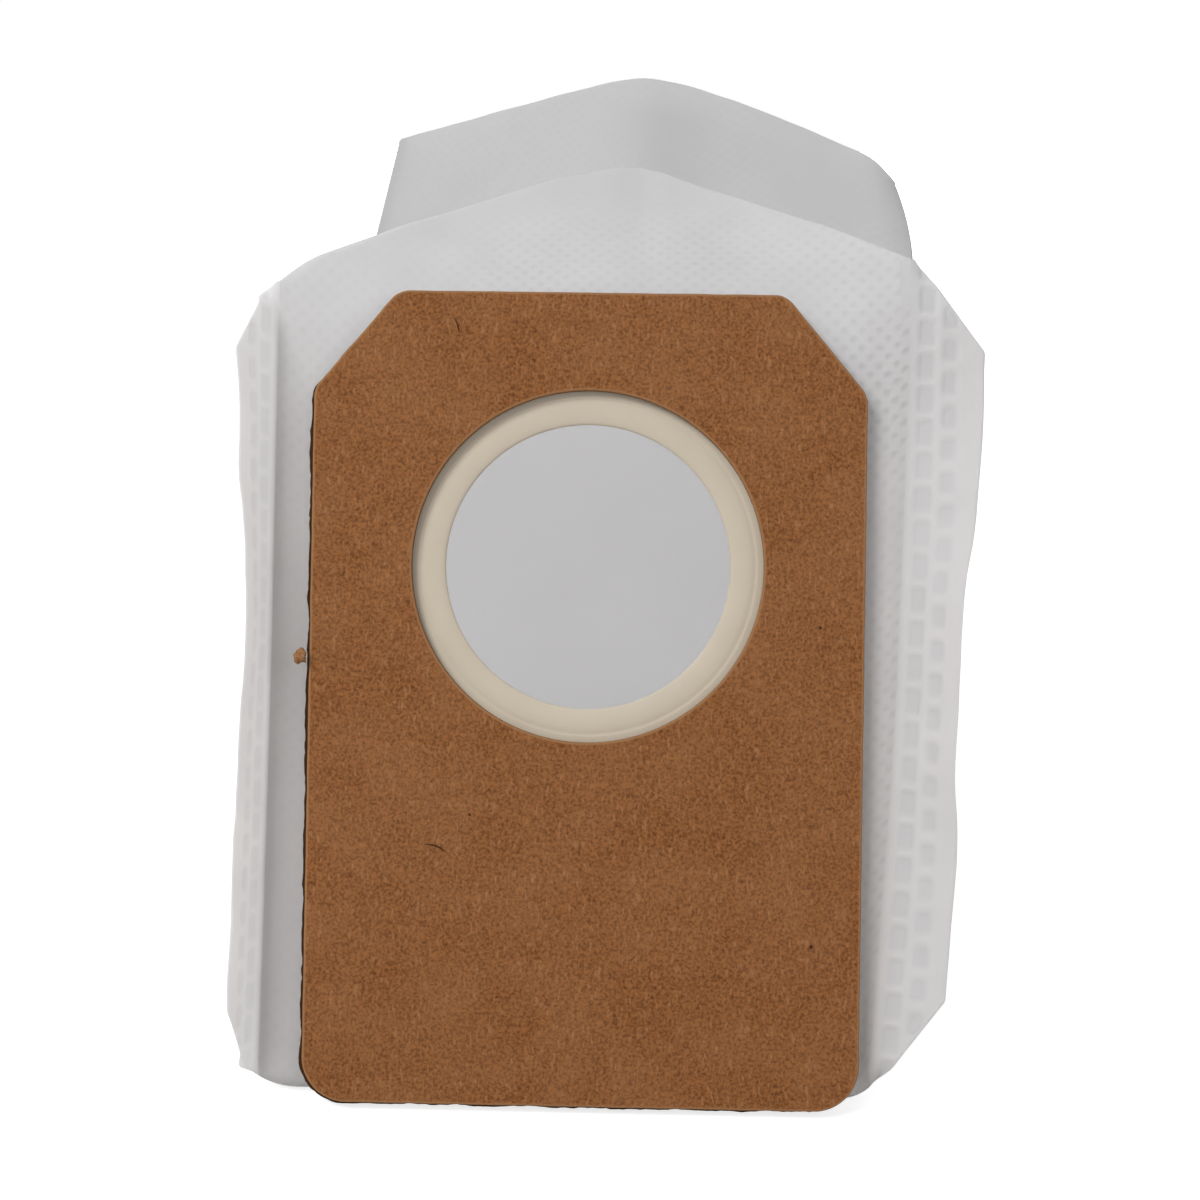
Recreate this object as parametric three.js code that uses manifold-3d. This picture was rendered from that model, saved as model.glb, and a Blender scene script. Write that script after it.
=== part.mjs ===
// Disposable dust bag for the base station of a robot vacuum cleaner, standing open on its bottom.
// A kraft board collar of two plies holds a rubber seal ring and is glued to the front of a bag of
// nonwoven filter fabric. The bag is one web folded into a loop (front, bellows top, rear, bottom)
// with a side panel welded into each end of the loop. Web and side panels meet in a flange that
// stands out sideways and is cut off slantwise at the corners.
// Millimetres, +Z up, the collar faces -Y, the origin is at the bottom centre of the bounding box.
import * as THREE from 'three';
import Module from 'manifold-3d';
import { mergeVertices } from 'three/addons/utils/BufferGeometryUtils.js';

const wasm = await Module();
wasm.setup();

// Stance: the collar leans back from upright, and the bag with it
const leanDegrees = 18;

// Fit: gap between pieces that are glued or welded face to face
const clearance = 0.3;

// Collar plies
const collarWidth = 100;
const collarHeight = 146;
const frontPly = 1.5;
const backPly = 1.2;
const topCutAcross = 15;
const topCutDown = 18;
const topCutRound = 4;
const bottomRound = 8;
const backPlySlipAcross = 0.7;
const backPlySlipDown = 0.5;
const collarAboveFloor = 0.5;

// Inlet through the collar, and the seal ring trapped in it
const inletAboveCentre = 24;
const frontPlyHole = 63.5;
const ringBore = 51.5;
const ringWidth = 10;
const lipWidth = 1.6;
const lipHeight = 0.35;
const webHoleMargin = 3;

// Fabric and its welded flange
const fabric = 0.8;
const flangeWidth = 12;
// Turn of the flange out of the plane of its sheet: into the bag when positive, away from it when
// negative. The left front flange was knocked forward, and the flanges of the bellows top lie folded in.
const leftFlangeTurnDegrees = -72;
const rightFlangeTurnDegrees = -22;
const topFlangeTurnDegrees = 58;
const otherFlangeTurnDegrees = 12;
const cornerCutTop = 17.5;
const cornerCutRear = 25;
const cornerCutBottom = 13;
const cutTip = 1.2;
const twistFromFront = 1.5;
const twistFromRear = 6;
const twistRun = 30;
const twistRoom = 0.5;

// Front panel: how much of it shows round the collar half way up, and how far the bag is turned
// clockwise against the collar
const showsLeft = 10.7;
const showsRight = 5.3;
const showsAboveLeft = 3;
const showsAboveRight = 8;
const bagTurnDegrees = 2;

// Bellows top, from front to rear: front ridge, valley, rear ridge
const frontRidgePeakAt = 0.58;
const frontRidgeRise = 26;
const frontRidgeBack = 29;
const frontRidgeEndBack = 3;
const roofBendDrop = 9;
const roofBow = 1.2;
const valleyBack = 52;
const valleyDrop = 18;
const valleySag = 9;
const rearRidgePeakAt = 0.52;
const rearRidgeBack = 95;
const rearRidgeAboveLeft = 48;
const rearRidgeAboveRight = 38;
const rearRidgeRise = 17;
const gablePower = 1;
const archPower = 1.4;

// Rear and bottom
const bottomDepth = 108;
const rearWidth = 105;
const rearSlipRight = 8.6;
const rearBulge = 5;

// Folds
const ridgeRadius = 1.6;
const valleyRadius = 4;
const roofRadius = 12;
const bottomRadius = 9;

// Side panels: creased down the middle and pushed in a little
const gussetPush = 9;
const gussetCreaseHalf = 10;
const gussetCreaseMargin = 40;
const gussetSteps = [0.12, 0.5, 1];

// Weld blocks pressed into the two front flanges
const weldPitch = 6.1;
const innerWeld = { across: 3.2, along: 4.9, from: 1.6 };
const outerWeld = { across: 2.7, along: 4.0, from: 6.1 };
const weldDepth = 0.25;
const weldEndMargin = 3;
const weldTwistDegrees = 6;

// Mesh fineness
const circleSegments = 56;
const cornerArc = 5;
const footArc = 4;
const bendArc = 3;
const twistSteps = 5;
const stops = { front: 10, roof: 3, rearOfRidge: 3, topRear: 4, rear: 6, bottom: 4 };
const sameSpot = 1e-4;
const stationsLeft = 7;
const stationsRight = 5;

// Everything below is laid out in the plane of the collar: x across, y up along the collar,
// z out of its front face. Depth behind the collar face is -z.
const lean = THREE.MathUtils.degToRad(leanDegrees);
const bagTurn = THREE.MathUtils.degToRad(bagTurnDegrees);
const weldTwist = THREE.MathUtils.degToRad(weldTwistDegrees);
const heightOnFloor = (depth, above) => (above + depth * Math.sin(lean)) / Math.cos(lean);

const collarThickness = frontPly + clearance + backPly;
const collarBottom = heightOnFloor(collarThickness, collarAboveFloor) + backPlySlipDown;
const collarMiddle = collarBottom + collarHeight / 2;
const collarTop = collarBottom + collarHeight;
const inletHeight = collarMiddle + inletAboveCentre;
const ringOuter = ringBore + 2 * ringWidth;
const panelDepth = collarThickness + clearance + fabric / 2;
const frontLeft = -collarWidth / 2 - showsLeft;
const frontRight = collarWidth / 2 + showsRight;

// Solids for cutting, from closed three.js geometry
function toManifold(geometry) {
  const bare = geometry.clone();
  bare.deleteAttribute('normal');
  bare.deleteAttribute('uv');
  const merged = mergeVertices(bare, sameSpot);
  const mesh = new wasm.Mesh({
    numProp: 3,
    vertProperties: new Float32Array(merged.attributes.position.array),
    triVerts: new Uint32Array(merged.index.array),
  });
  mesh.merge();
  return new wasm.Manifold(mesh);
}

function toGeometry(manifold) {
  const mesh = manifold.getMesh();
  const geometry = new THREE.BufferGeometry();
  geometry.setAttribute('position', new THREE.BufferAttribute(mesh.vertProperties, 3));
  geometry.setIndex(new THREE.BufferAttribute(mesh.triVerts, 1));
  geometry.computeVertexNormals();
  return geometry;
}

// Collar outline: slanted top corners with a small rounding, round bottom corners
function collarOutline() {
  const points = [
    { x: collarWidth / 2, y: 0, r: bottomRound },
    { x: collarWidth / 2, y: collarHeight - topCutDown, r: topCutRound },
    { x: collarWidth / 2 - topCutAcross, y: collarHeight, r: topCutRound },
    { x: -collarWidth / 2 + topCutAcross, y: collarHeight, r: topCutRound },
    { x: -collarWidth / 2, y: collarHeight - topCutDown, r: topCutRound },
    { x: -collarWidth / 2, y: 0, r: bottomRound },
  ].map(({ x, y, r }) => ({ at: new THREE.Vector2(x, y), radius: r, arc: cornerArc, steps: 1, bow: 0 }));
  return roundedLoop(points);
}

// Closed outline with rounded corners and divided runs. Each corner has its place, the radius of
// its rounding and the steps of that arc. The run after it has its steps, how far it bows and, if
// given, how far from the corners before and after it its first and last stops lie, and whether
// there are finer steps up to them for the twist of the flange.
function roundedLoop(corners) {
  const points = [];
  const trimmed = corners.map((corner, i) => {
    const before = corners[(i + corners.length - 1) % corners.length].at;
    const after = corners[(i + 1) % corners.length].at;
    const back = before.clone().sub(corner.at).normalize();
    const ahead = after.clone().sub(corner.at).normalize();
    const half = Math.acos(THREE.MathUtils.clamp(back.dot(ahead), -1, 1)) / 2;
    const reach = corner.radius / Math.tan(half);
    const start = corner.at.clone().addScaledVector(back, reach);
    const end = corner.at.clone().addScaledVector(ahead, reach);
    const middle = back.clone().add(ahead).normalize();
    const centre = corner.at.clone().addScaledVector(middle, corner.radius / Math.sin(half));
    return { ...corner, reach, start, end, centre };
  });
  trimmed.forEach((corner, i) => {
    const next = trimmed[(i + 1) % trimmed.length];
    const from = corner.start.clone().sub(corner.centre);
    const to = corner.end.clone().sub(corner.centre);
    const sweep = Math.atan2(from.cross(to), from.dot(to));
    for (let j = 0; j <= corner.arc; j += 1) {
      const arm = from.clone().rotateAround(new THREE.Vector2(), (sweep * j) / corner.arc);
      points.push(corner.centre.clone().add(arm));
    }
    const run = next.start.clone().sub(corner.end);
    const length = run.length();
    const side = new THREE.Vector2(-run.y, run.x).normalize();
    const first = corner.first ? (corner.first - corner.reach) / length : 1 / corner.steps;
    const last = corner.last ? (corner.last - next.reach) / length : 1 / corner.steps;
    const stopsAt = [];
    if (corner.fineFirst) for (let j = 1; j < twistSteps; j += 1) stopsAt.push((first * j) / twistSteps);
    for (let j = 1; j < corner.steps; j += 1) {
      const even = corner.steps > 2 ? (j - 1) / (corner.steps - 2) : 0;
      stopsAt.push(THREE.MathUtils.lerp(first, 1 - last, even));
    }
    if (corner.fineLast) for (let j = twistSteps - 1; j > 0; j -= 1) stopsAt.push(1 - (last * j) / twistSteps);
    stopsAt.forEach((q) => {
      const bow = corner.bow * 4 * q * (1 - q);
      points.push(corner.end.clone().addScaledVector(run, q).addScaledVector(side, bow));
    });
  });
  return points;
}

function collarPly(thickness, hole, slipAcross, slipDown) {
  const shape = new THREE.Shape(collarOutline());
  const bore = new THREE.Path();
  const boreHeight = inletHeight - collarBottom + slipDown;
  bore.absarc(slipAcross, boreHeight, hole / 2, 0, 2 * Math.PI, true);
  shape.holes.push(bore);
  return new THREE.ExtrudeGeometry(shape, {
    depth: thickness,
    bevelEnabled: false,
    curveSegments: circleSegments,
  });
}

// Seal ring: a flat rubber washer with a low lip round its bore
function sealRing() {
  const inner = ringBore / 2;
  const profile = [
    [inner, 0],
    [inner + ringWidth, 0],
    [inner + ringWidth, backPly],
    [inner + lipWidth + lipHeight, backPly],
    [inner + lipWidth, backPly + lipHeight],
    [inner + lipWidth / 2, backPly + lipHeight],
    [inner, backPly],
    [inner, 0],
  ].map(([r, h]) => new THREE.Vector2(r, h));
  const ring = new THREE.LatheGeometry(profile, circleSegments);
  ring.rotateX(Math.PI / 2);
  return ring;
}

// Rise of a ridge across the bag: 0 at both seams, 1 at its peak, straight or arched on each side
function ridgeRise(t, peakAt, leftPower, rightPower) {
  const left = t < peakAt;
  const away = left ? (peakAt - t) / peakAt : (t - peakAt) / (1 - peakAt);
  return 1 - away ** (left ? leftPower : rightPower);
}

// Corners of the web's loop at one station across the bag, t = 0 at the left seam and 1 at the
// right one: front foot, roof bend, front ridge, valley, rear ridge, rear foot. A point is
// (depth behind the collar face, height along the collar).
function webCorners(t) {
  const frontRise = ridgeRise(t, frontRidgePeakAt, archPower, gablePower);
  const rearRise = ridgeRise(t, rearRidgePeakAt, gablePower, archPower);
  const frontEnd = collarTop + THREE.MathUtils.lerp(showsAboveLeft, showsAboveRight, t);
  const rearEnd = frontEnd + THREE.MathUtils.lerp(rearRidgeAboveLeft, rearRidgeAboveRight, t);
  const across = Math.sin(Math.PI * t);
  const frontFoot = heightOnFloor(panelDepth, fabric / 2);
  const rearDepth = panelDepth + bottomDepth;
  const bend = frontEnd - roofBendDrop + (roofBendDrop - showsAboveLeft) * frontRise;
  return [
    {
      at: [panelDepth, frontFoot],
      radius: bottomRadius,
      arc: footArc,
      steps: stops.front,
      bow: 0,
      first: bottomRadius + twistRun,
      fineFirst: true,
      last: cornerCutTop - roofBendDrop,
    },
    {
      at: [panelDepth, bend],
      radius: roofRadius,
      arc: bendArc,
      steps: stops.roof,
      bow: roofBow * frontRise,
    },
    {
      at: [
        panelDepth + frontRidgeEndBack + frontRidgeBack * frontRise,
        frontEnd + frontRidgeRise * frontRise,
      ],
      radius: ridgeRadius,
      arc: cornerArc,
      steps: stops.rearOfRidge,
      bow: 0,
      first: cornerCutTop,
      fineFirst: true,
    },
    {
      at: [panelDepth + valleyBack, frontEnd - valleyDrop + valleySag * across],
      radius: valleyRadius,
      arc: footArc,
      steps: stops.topRear,
      bow: 0,
      last: cornerCutRear,
      fineLast: true,
    },
    {
      at: [panelDepth + rearRidgeBack, rearEnd + rearRidgeRise * rearRise],
      radius: ridgeRadius,
      arc: cornerArc,
      steps: stops.rear,
      bow: rearBulge * across,
      first: cornerCutRear,
      last: cornerCutBottom,
    },
    {
      at: [rearDepth, heightOnFloor(rearDepth, fabric / 2)],
      radius: bottomRadius,
      arc: footArc,
      steps: stops.bottom,
      bow: 0,
      first: cornerCutBottom,
      last: cornerCutBottom,
    },
  ].map((corner) => ({ ...corner, at: new THREE.Vector2(...corner.at) }));
}

// Where the left and right seams run, by depth behind the collar face and height along it
function seamAcross(side, depth, height) {
  const q = (depth - panelDepth) / rearRidgeBack;
  const rearCentre = (frontLeft + frontRight) / 2 + rearSlipRight;
  const front = side < 0 ? frontLeft : frontRight;
  const turned = (height - collarMiddle) * Math.tan(bagTurn);
  return THREE.MathUtils.lerp(front, rearCentre + (side * rearWidth) / 2, q) + turned;
}

// The flange along one seam: for each point of the loop its seam point, the way out along the
// flange, the way into the bag square to it, and the width that the corner cuts leave
function flangeFrames(side) {
  const corners = webCorners(side < 0 ? 0 : 1);
  const points = roundedLoop(corners);
  const count = points.length;
  const [footFront, , ridgeFront, , ridgeRear, footRear] = corners.map((corner) => corner.at);
  const cuts = [
    [footFront, cornerCutBottom],
    [ridgeFront, cornerCutTop],
    [ridgeRear, cornerCutRear],
    [footRear, cornerCutBottom],
  ];
  const frontTurn = side < 0 ? leftFlangeTurnDegrees : rightFlangeTurnDegrees;
  return points.map((p, k) => {
    const travel = points[(k + 1) % count].clone().sub(points[(k + count - 1) % count]).normalize();
    const inward = new THREE.Vector3(0, -travel.x, -travel.y);
    const away = Math.min(...cuts.map(([corner, cut]) => corner.distanceTo(p) / cut));
    const whole = Math.min(1, away);
    const width = THREE.MathUtils.lerp(cutTip, flangeWidth, whole);
    const onFront = p.x < panelDepth + frontRidgeEndBack && p.y > footFront.y + bottomRadius;
    const onTop = p.x > ridgeFront.x && p.x < ridgeRear.x && p.y > collarMiddle;
    const aboveFoot = (p.y - footFront.y - bottomRadius) / twistRun;
    const fromFrontRidge = (ridgeFront.distanceTo(p) - twistFromFront) / (cornerCutTop - twistFromFront);
    const fromRearRidge = (ridgeRear.distanceTo(p) - twistFromRear) / (cornerCutRear - twistFromRear);
    const run = onFront ? Math.min(aboveFoot, fromFrontRidge) : Math.min(fromFrontRidge, fromRearRidge);
    const share = THREE.MathUtils.clamp(run, 0, 1);
    const turned = onFront || onTop ? share * (2 - share) : 0;
    const bend = THREE.MathUtils.lerp(otherFlangeTurnDegrees, onFront ? frontTurn : topFlangeTurnDegrees, turned);
    const turn = THREE.MathUtils.degToRad(bend);
    const outward = new THREE.Vector3(side, 0, 0);
    const out = outward.clone().multiplyScalar(Math.cos(turn)).addScaledVector(inward, Math.sin(turn));
    const inn = inward.clone().multiplyScalar(Math.cos(turn)).addScaledVector(outward, -Math.sin(turn));
    return {
      seam: new THREE.Vector3(seamAcross(side, p.x, p.y), p.y, -p.x),
      out,
      inn,
      width,
      inset: fabric + clearance + twistRoom * 4 * turned * (1 - turned),
      mitre: Math.tan(turn / 2),
      onFront,
    };
  });
}

// Closed solid of one thickness on both sides of an open surface
function thicken(points, faces, thickness) {
  const surface = new THREE.BufferGeometry().setFromPoints(points);
  surface.setIndex(faces.flat());
  surface.computeVertexNormals();
  const normal = surface.attributes.normal;
  const count = points.length;
  const shifted = (way) =>
    points.map((p, i) => new THREE.Vector3().fromBufferAttribute(normal, i).multiplyScalar(way).add(p));
  const both = [...shifted(thickness / 2), ...shifted(-thickness / 2)];
  const edges = new Map();
  faces.forEach(([a, b, c]) => {
    [[a, b], [b, c], [c, a]].forEach(([i, j]) => {
      if (!edges.delete(`${j},${i}`)) edges.set(`${i},${j}`, [i, j]);
    });
  });
  const rim = [...edges.values()].flatMap(([i, j]) => [
    [j, i, i + count],
    [j, i + count, j + count],
  ]);
  const under = faces.map(([a, b, c]) => [a + count, c + count, b + count]);
  const solid = new THREE.BufferGeometry().setFromPoints(both);
  solid.setIndex([...faces, ...under, ...rim].flat());
  solid.computeVertexNormals();
  return solid;
}

// Two triangles for each cell between two neighbouring rows of points, each row a closed loop
function weave(rows) {
  const faces = [];
  const width = rows[0].length;
  for (let r = 0; r < rows.length - 1; r += 1) {
    for (let k = 0; k < width; k += 1) {
      const next = (k + 1) % width;
      const [a, b, c, d] = [rows[r][k], rows[r][next], rows[r + 1][next], rows[r + 1][k]];
      faces.push([a, b, c], [a, c, d]);
    }
  }
  return faces;
}

// Rows of points numbered one after the other
function numberRows(rowsOfPoints) {
  let next = 0;
  return rowsOfPoints.map((row) => row.map(() => next++));
}

// Web: left flange, the loop at each station across, right flange
function bagWeb() {
  const stations = [];
  for (let i = 0; i <= stationsLeft; i += 1) stations.push((frontRidgePeakAt * i) / stationsLeft);
  for (let i = 1; i <= stationsRight; i += 1) {
    stations.push(frontRidgePeakAt + ((1 - frontRidgePeakAt) * i) / stationsRight);
  }
  const flangeEdge = (side) => flangeFrames(side).map((f) => f.seam.clone().addScaledVector(f.out, f.width));
  const panels = stations.map((t) =>
    roundedLoop(webCorners(t)).map((p) => {
      const x = THREE.MathUtils.lerp(seamAcross(-1, p.x, p.y), seamAcross(1, p.x, p.y), t);
      return new THREE.Vector3(x, p.y, -p.x);
    })
  );
  const rows = [flangeEdge(-1), ...panels, flangeEdge(1)];
  const web = thicken(rows.flat(), weave(numberRows(rows)), fabric);
  const holeRadius = frontPlyHole / 2 - webHoleMargin;
  const through = 4 * fabric;
  const hole = new THREE.CylinderGeometry(holeRadius, holeRadius, through, circleSegments);
  hole.rotateX(Math.PI / 2);
  hole.translate(0, inletHeight, -panelDepth);
  return toGeometry(toManifold(web).subtract(toManifold(hole)).subtract(weldTool(-1)).subtract(weldTool(1)));
}

// Rows of small blocks that press the welds into the front of one front flange, where it is flat
// enough for the press
function weldTool(side) {
  const frames = flangeFrames(side).filter((f) => f.onFront);
  const blocks = [];
  [innerWeld, outerWeld].forEach((weld, row) => {
    let next = weldEndMargin + (row * weldPitch) / 2;
    let along = 0;
    for (let k = 0; k < frames.length - 1; k += 1) {
      const from = frames[k];
      const to = frames[k + 1];
      const length = from.seam.distanceTo(to.seam);
      const flat = from.out.angleTo(to.out) < weldTwist;
      const up = to.seam.clone().sub(from.seam).normalize();
      for (; next < along + length; next += weldPitch) {
        const q = (next - along) / length;
        const room = THREE.MathUtils.lerp(from.width, to.width, q) - weld.from - weld.across;
        if (flat && room > 0) {
          const inn = from.inn.clone().lerp(to.inn, q).normalize();
          const across = new THREE.Vector3().crossVectors(up, inn).normalize();
          const centre = from.seam.clone().lerp(to.seam, q);
          centre.addScaledVector(across, -side * (weld.from + weld.across / 2));
          centre.addScaledVector(inn, -fabric / 2);
          const block = new THREE.BoxGeometry(weld.across, weld.along, 2 * weldDepth);
          block.applyMatrix4(new THREE.Matrix4().makeBasis(across, up, inn));
          block.translate(centre.x, centre.y, centre.z);
          blocks.push(toManifold(block));
        }
      }
      along += length;
    }
  });
  return wasm.Manifold.union(blocks);
}

// Side panel: its own flange lies inside that of the web, then it crosses the end of the bag and
// is creased inwards along an upright line
function sidePanel(side) {
  const frames = flangeFrames(side);
  const onFlange = (f, width) => f.seam.clone().addScaledVector(f.inn, f.inset).addScaledVector(f.out, width);
  const edge = frames.map((f) => onFlange(f, f.width));
  const foot = frames.map((f) => onFlange(f, f.inset * f.mitre));
  const creaseDepth = panelDepth + valleyBack;
  const narrow = gussetCreaseHalf / valleyBack;
  const shorten = 1 - (2 * gussetCreaseMargin) / collarHeight;
  const creaseAcross = (height) => seamAcross(side, creaseDepth, height) - side * gussetPush;
  const pushed = (share) =>
    foot.map((base) => {
      const height = collarMiddle + (base.y - collarMiddle) * shorten;
      const depth = creaseDepth + (-base.z - creaseDepth) * narrow;
      return base.clone().lerp(new THREE.Vector3(creaseAcross(height), height, -depth), share);
    });
  const centre = [new THREE.Vector3(creaseAcross(collarMiddle), collarMiddle, -creaseDepth)];
  const rows = [edge, foot, ...gussetSteps.map(pushed)];
  const numbered = numberRows([...rows, centre]);
  const [hub] = numbered.pop();
  const faces = weave(numbered);
  const ring = numbered[numbered.length - 1];
  ring.forEach((k, i) => faces.push([k, ring[(i + 1) % ring.length], hub]));
  return thicken([...rows.flat(), ...centre], faces, fabric);
}

// Colours and finishes
const kraft = () => new THREE.MeshStandardMaterial({ color: 0x8a5c38, roughness: 0.92, metalness: 0 });
const cream = () => new THREE.MeshStandardMaterial({ color: 0xe0d6c2, roughness: 0.6, metalness: 0 });
const white = () => new THREE.MeshStandardMaterial({ color: 0xe9e8e8, roughness: 0.95, metalness: 0 });

function addPiece(parent, name, geometry, material, x = 0, y = 0, z = 0) {
  const mesh = new THREE.Mesh(geometry, material);
  mesh.name = name;
  mesh.position.set(x, y, z);
  parent.add(mesh);
}

const leaning = new THREE.Group();
leaning.rotation.x = Math.PI / 2 - lean;
const backFace = -collarThickness;
const frontBoard = collarPly(frontPly, frontPlyHole, 0, 0);
const backBoard = collarPly(backPly, ringOuter + 2 * clearance, backPlySlipAcross, backPlySlipDown);
addPiece(leaning, 'collar_front_ply', frontBoard, kraft(), 0, collarBottom, -frontPly);
addPiece(
  leaning,
  'collar_back_ply',
  backBoard,
  kraft(),
  -backPlySlipAcross,
  collarBottom - backPlySlipDown,
  backFace
);
addPiece(leaning, 'seal_ring', sealRing(), cream(), 0, inletHeight, backFace);
addPiece(leaning, 'bag_web', bagWeb(), white());
addPiece(leaning, 'left_side_panel', sidePanel(-1), white());
addPiece(leaning, 'right_side_panel', sidePanel(1), white());

const dustBag = new THREE.Group();
dustBag.add(leaning);
dustBag.updateMatrixWorld(true);
const extent = new THREE.Box3().setFromObject(dustBag, true);
const middle = extent.getCenter(new THREE.Vector3());
leaning.position.set(-middle.x, -middle.y, -extent.min.z);

export default dustBag;
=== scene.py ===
# %% [markdown]
# # Dust bag of a robot vacuum's base station
# The bag is a kraft board collar on a body of white nonwoven fabric. The collar slides into the
# station, and a cream rubber ring in its inlet seals against the air duct. This script dresses the
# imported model, in metres, +Z up.

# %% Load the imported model
import math

import bmesh
import bpy
import numpy as np
from mathutils import Matrix, Vector, noise


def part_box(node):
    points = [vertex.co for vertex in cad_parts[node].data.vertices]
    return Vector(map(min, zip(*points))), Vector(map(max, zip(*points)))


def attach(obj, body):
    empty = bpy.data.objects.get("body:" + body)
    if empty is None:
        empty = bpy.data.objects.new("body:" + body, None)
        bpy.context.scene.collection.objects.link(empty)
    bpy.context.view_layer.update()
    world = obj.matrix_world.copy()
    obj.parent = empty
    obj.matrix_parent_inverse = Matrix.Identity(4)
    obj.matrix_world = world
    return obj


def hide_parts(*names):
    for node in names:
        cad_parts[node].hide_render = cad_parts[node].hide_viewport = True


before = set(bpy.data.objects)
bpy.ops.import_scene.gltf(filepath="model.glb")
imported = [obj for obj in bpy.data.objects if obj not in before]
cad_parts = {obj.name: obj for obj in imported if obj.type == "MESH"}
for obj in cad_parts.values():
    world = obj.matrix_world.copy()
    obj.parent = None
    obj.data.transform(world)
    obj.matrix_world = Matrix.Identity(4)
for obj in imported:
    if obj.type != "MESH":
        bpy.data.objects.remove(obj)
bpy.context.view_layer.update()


def in_scene(name, data):
    """A new object with this data, linked to the scene."""
    made = bpy.data.objects.new(name, data)
    bpy.context.scene.collection.objects.link(made)
    return made


# %% [markdown]
# The whole bag follows the collar, which leans back. So it is built in the collar's own directions:
# across it, up along it, and how far behind its face, in millimetres. One function turns such a
# place into the model's frame, and its start is read from the collar's box.

# %% Collar directions
MM = 0.001
LEAN = math.radians(18)
FRONT_PLY = 1.5
ACROSS = Vector((1, 0, 0))
UP = Vector((0, math.sin(LEAN), math.cos(LEAN)))
BEHIND = Vector((0, math.cos(LEAN), -math.sin(LEAN)))
ply_low, ply_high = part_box("collar_front_ply")
collar_foot = Vector((
    (ply_low.x + ply_high.x) / 2,
    ply_low.y,
    ply_low.z + FRONT_PLY * MM * math.sin(LEAN),
))


def place(x, v, w):
    """The point x across, v up along and w behind the collar's face, from millimetres to the frame."""
    return collar_foot + MM * (x * ACROSS + v * UP + w * BEHIND)


def floor_height(w):
    """How far up along the collar's slope the floor lies at a depth w."""
    return (w * math.sin(LEAN) - collar_foot.z / MM) / math.cos(LEAN)


print("collar foot in mm:", [round(c / MM, 2) for c in collar_foot])

# %% [markdown]
# The picture is taken nearly square to the collar, from about 0.4 m. The collar's edges lean a
# degree clockwise in it and draw together a little upwards, which gives the camera its small roll,
# pitch and yaw against the collar.

# %% Camera
CAMERA_AT = (11.3, 82.5, -400.9)
CAMERA_YAW = math.radians(1.28)
CAMERA_PITCH = math.radians(1.21)
CAMERA_ROLL = math.radians(0.91)
FRAME_PIXELS = 1200
FOCAL_PIXELS = 2228
SENSOR = 36

camera_back = (
    math.sin(CAMERA_YAW) * ACROSS - math.sin(CAMERA_PITCH) * UP
    - math.sqrt(1 - math.sin(CAMERA_YAW) ** 2 - math.sin(CAMERA_PITCH) ** 2) * BEHIND
)
rolled_right = math.cos(CAMERA_ROLL) * ACROSS + math.sin(CAMERA_ROLL) * UP
camera_up = camera_back.cross(rolled_right).normalized()
camera_right = camera_up.cross(camera_back)
camera_data = bpy.data.cameras.new("camera")
camera_data.sensor_width = SENSOR
camera_data.lens = SENSOR * FOCAL_PIXELS / FRAME_PIXELS
camera = in_scene("camera", camera_data)
turn = Matrix((camera_right, camera_up, camera_back)).transposed().to_4x4()
camera.matrix_world = Matrix.Translation(place(*CAMERA_AT)) @ turn
bpy.context.scene.camera = camera
print("camera at", [round(c, 3) for c in place(*CAMERA_AT)], "lens", round(camera_data.lens, 1))

# %% [markdown]
# A product picture like this has a soft sky of light and nothing hard. The world gives the even
# part. A wide panel above and to the left models the folds, and a weaker one at the right keeps
# them open. A third one stands behind, as the lit backdrop does, and shines through the cloth. The
# camera sees the world and the floor as white, but the floor keeps its shadow.

# %% Lights, world and floor
SKY_STRENGTH = 0.42
LIT_SPOT = (0, 0, 0.08)
PANELS = {  # place and size in metres, and watts
    "key": ((-0.75, -0.8, 1.15), 0.7, 13),
    "fill": ((0.9, -1.0, 0.7), 0.9, 1.5),
    "back": ((0.1, 1.7, 0.35), 1.2, 22),
}


def panel_light(name, at, size, watts):
    data = bpy.data.lights.new(name, "AREA")
    data.shape = "DISK"
    data.size = size
    data.energy = watts
    light = in_scene(name, data)
    light.location = at
    light.rotation_euler = (Vector(LIT_SPOT) - Vector(at)).to_track_quat("-Z", "Y").to_euler()


for name, (at, size, watts) in PANELS.items():
    panel_light(name, at, size, watts)


def seen_as_background(tree):
    """1 for camera, glossy and transmission rays, so that only these meet the white background."""
    path = tree.nodes.new("ShaderNodeLightPath")
    total = path.outputs["Is Camera Ray"]
    for ray in ("Is Glossy Ray", "Is Transmission Ray"):
        either = tree.nodes.new("ShaderNodeMath")
        either.operation = "MAXIMUM"
        tree.links.new(total, either.inputs[0])
        tree.links.new(path.outputs[ray], either.inputs[1])
        total = either.outputs[0]
    return total


world = bpy.data.worlds.new("studio")
bpy.context.scene.world = world
world.use_nodes = True
sky = world.node_tree.nodes["Background"]
sky.inputs["Color"].default_value = (1, 1, 1, 1)
strength = world.node_tree.nodes.new("ShaderNodeMapRange")
strength.inputs["To Min"].default_value = SKY_STRENGTH
strength.inputs["To Max"].default_value = 1
world.node_tree.links.new(seen_as_background(world.node_tree), strength.inputs["Value"])
world.node_tree.links.new(strength.outputs["Result"], sky.inputs["Strength"])

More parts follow.
